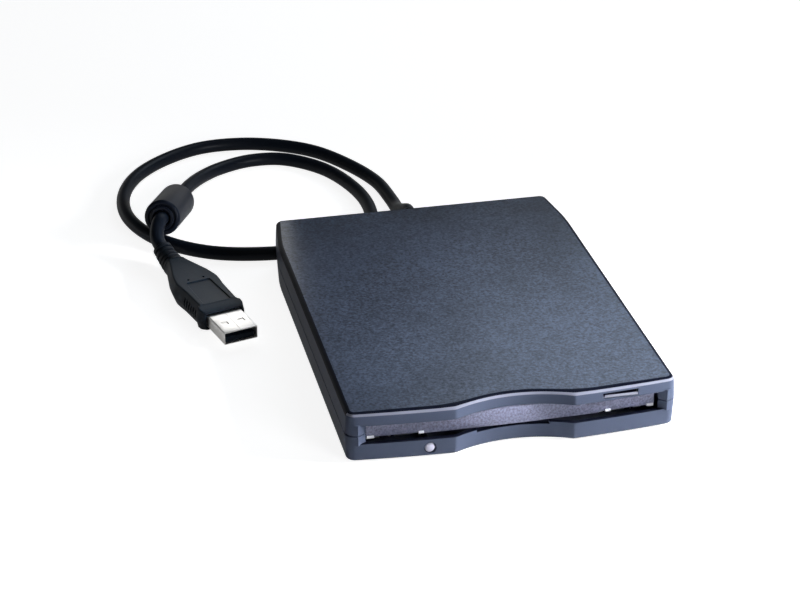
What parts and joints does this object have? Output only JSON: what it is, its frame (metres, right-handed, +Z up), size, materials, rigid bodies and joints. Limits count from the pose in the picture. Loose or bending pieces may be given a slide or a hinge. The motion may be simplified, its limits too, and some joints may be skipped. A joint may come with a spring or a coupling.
{
  "type": "external floppy disk drive",
  "caption": "Slim external floppy disk drive with a flap over its disk slot, an eject button, a status light and an attached USB cord with a ferrite bead and plug.",
  "frame": {"origin": "middle of the drive's base, level with the faces of its four feet", "axes": "+Z up; +Y along the drive's length, from the slot at the front towards the cord at the rear; +X to the right seen from the front"},
  "size_m": [0.152, 0.2468, 0.0185],
  "materials": {
    "housing_plastic": "fine-grained charcoal moulding, slightly blue",
    "flap_plastic": "fine-grained dark grey moulding",
    "button_plastic": "satin grey moulding",
    "lens_plastic": "milky clear lens",
    "black_rubber": "matt black rubber",
    "cable_black": "smooth black cable jacket",
    "black_plastic": "satin black moulding",
    "bright_nickel": "bright nickel plate",
    "zinc_steel": "zinc-plated sheet steel",
    "dark_iron": "dark laminated iron and sintered bronze",
    "magnet_black": "black bonded magnet",
    "board_green": "green circuit board",
    "chip_black": "black moulded chip package",
    "white_plastic": "white moulding",
    "head_ceramic": "polished tan ceramic"
  },
  "bodies": {
    "housing": {"bottom_shell": "housing_plastic", "top_shell": "housing_plastic", "foot_front_left": "black_rubber", "foot_front_right": "black_rubber", "foot_rear_left": "black_rubber", "foot_rear_right": "black_rubber", "chassis_screw_front_left": "zinc_steel", "chassis_screw_front_right": "zinc_steel", "chassis_screw_rear_left": "zinc_steel", "chassis_screw_rear_right": "zinc_steel", "housing_screw_left": "zinc_steel", "housing_screw_right": "zinc_steel", "status_light_lens": "lens_plastic", "status_lamp": "white_plastic", "flap_spring": "zinc_steel", "slider_spring_left": "zinc_steel", "slider_spring_right": "zinc_steel", "chassis": "zinc_steel", "top_shield": "zinc_steel", "motor_board": "board_green", "motor_stator": "dark_iron", "spindle_bearing": "dark_iron", "guide_rod": "zinc_steel", "rod_clamp_front": "white_plastic", "rod_clamp_rear": "white_plastic", "stepper_motor": "zinc_steel", "stepper_bracket": "zinc_steel", "interface_board": "board_green", "interface_chip": "chip_black", "cord_socket": "white_plastic", "flat_cable": "white_plastic", "cable_boot": "black_rubber", "usb_cable": "cable_black", "ferrite_bead": "black_plastic", "usb_cable_end": "cable_black", "plug_relief": "black_rubber", "plug_body": "black_plastic", "plug_shell": "bright_nickel", "plug_tongue": "black_plastic"},
    "flap": {"slot_flap": "flap_plastic"},
    "slider": {"eject_slider": "zinc_steel", "eject_button": "button_plastic"},
    "holder": {"disk_holder": "zinc_steel", "lever_rivet": "zinc_steel", "lever_spring": "zinc_steel"},
    "lever": {"shutter_lever": "zinc_steel"},
    "spindle": {"spindle_rotor": "zinc_steel", "rotor_magnet": "magnet_black", "spindle_shaft": "zinc_steel", "hub_plate": "magnet_black", "drive_pin": "zinc_steel"},
    "carriage": {"head_carriage": "white_plastic", "lower_head": "head_ceramic"},
    "head_arm": {"upper_head_arm": "white_plastic", "upper_head": "head_ceramic"},
    "screw": {"lead_screw": "dark_iron"}
  },
  "joints": [
    {"name": "flap_hinge", "type": "hinge", "parent": "housing", "child": "flap", "pos_m": [0, -0.06624, 0.0121], "axis": [1, 0, 0], "range_deg": [0, 90], "stiffness_Nm_per_rad": 0.00004, "deforming": ["flap_spring"]},
    {"name": "eject_slide", "type": "slide", "parent": "housing", "child": "slider", "axis": [0, -1, 0], "range_m": [0, 0.004], "deforming": ["slider_spring_left", "slider_spring_right"]},
    {"name": "holder_lift", "type": "slide", "parent": "housing", "child": "holder", "axis": [0, 0, -1], "range_m": [0, 0.002]},
    {"name": "shutter_lever_pivot", "type": "hinge", "parent": "holder", "child": "lever", "pos_m": [-0.036, 0.02576, 0.0131], "axis": [0, 0, 1], "range_deg": [0, 55], "stiffness_Nm_per_rad": 0.001, "deforming": ["lever_spring"]},
    {"name": "spindle_turn", "type": "hinge", "parent": "housing", "child": "spindle", "pos_m": [0, -0.01424, 0.0056], "axis": [0, 0, 1], "continuous": true},
    {"name": "lead_screw_turn", "type": "hinge", "parent": "housing", "child": "screw", "pos_m": [0.0135, 0.04926, 0.0086], "axis": [0, 1, 0], "range_deg": [0, 1421]},
    {"name": "head_slide", "type": "slide", "parent": "housing", "child": "carriage", "axis": [0, -1, 0], "range_m": [0, 0.0148]},
    {"name": "head_arm_pivot", "type": "hinge", "parent": "carriage", "child": "head_arm", "pos_m": [0, 0.05026, 0.0098], "axis": [1, 0, 0], "range_deg": [0, 8.28]}
  ],
  "couplings": [
    {"joint": "holder_lift", "follows": "eject_slide", "ratio": 0.5},
    {"joint": "head_arm_pivot", "follows": "eject_slide", "rad_per_m": 36.1},
    {"joint": "lead_screw_turn", "follows": "head_slide", "rad_per_m": 1675.5}
  ]
}
